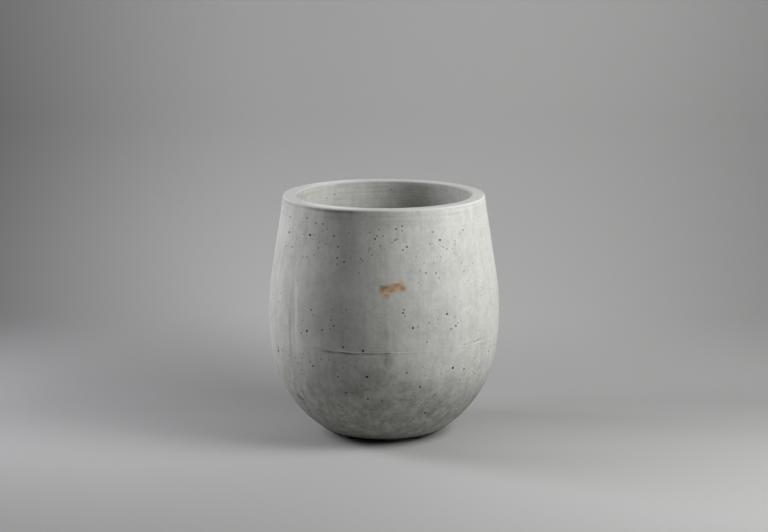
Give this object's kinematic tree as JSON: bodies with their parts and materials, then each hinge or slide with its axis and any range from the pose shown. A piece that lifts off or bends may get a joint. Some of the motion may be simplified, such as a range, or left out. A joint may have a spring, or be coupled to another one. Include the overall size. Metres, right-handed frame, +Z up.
{
  "type": "concrete bowl planter",
  "caption": "Deep round cast concrete planter, widest at half height, with a thick flat rim, embedded steel bars, a drain sleeve with a pull-out rubber plug, and rubber floor pads.",
  "frame": {"origin": "on the floor, under the middle of the base", "axes": "+Z up along the bowl's axis; the rust bloom faces -Y"},
  "size_m": [0.6, 0.5998, 0.628],
  "materials": {
    "concrete": "smooth cast grey concrete with small air voids",
    "bar_steel": "plain round mild steel bar, lightly rusted",
    "sleeve_plastic": "dark grey pipe plastic",
    "plug_rubber": "matt black rubber",
    "pad_rubber": "matt black rubber"
  },
  "bodies": {
    "planter": {"bowl": "concrete", "rim_hoop": "bar_steel", "shoulder_hoop": "bar_steel", "belly_hoop": "bar_steel", "heel_hoop": "bar_steel", "base_hoop": "bar_steel", "rib_1": "bar_steel", "rib_2": "bar_steel", "rib_3": "bar_steel", "rib_4": "bar_steel", "rib_5": "bar_steel", "rib_6": "bar_steel", "rib_7": "bar_steel", "rib_8": "bar_steel", "drain_sleeve": "sleeve_plastic", "floor_pad_1": "pad_rubber", "floor_pad_2": "pad_rubber", "floor_pad_3": "pad_rubber", "floor_pad_4": "pad_rubber"},
    "plug": {"drain_plug": "plug_rubber"}
  },
  "joints": [
    {"name": "drain_plug_pull", "type": "slide", "parent": "planter", "child": "plug", "axis": [0, 0, 1], "range_m": [0, 0.62]}
  ]
}
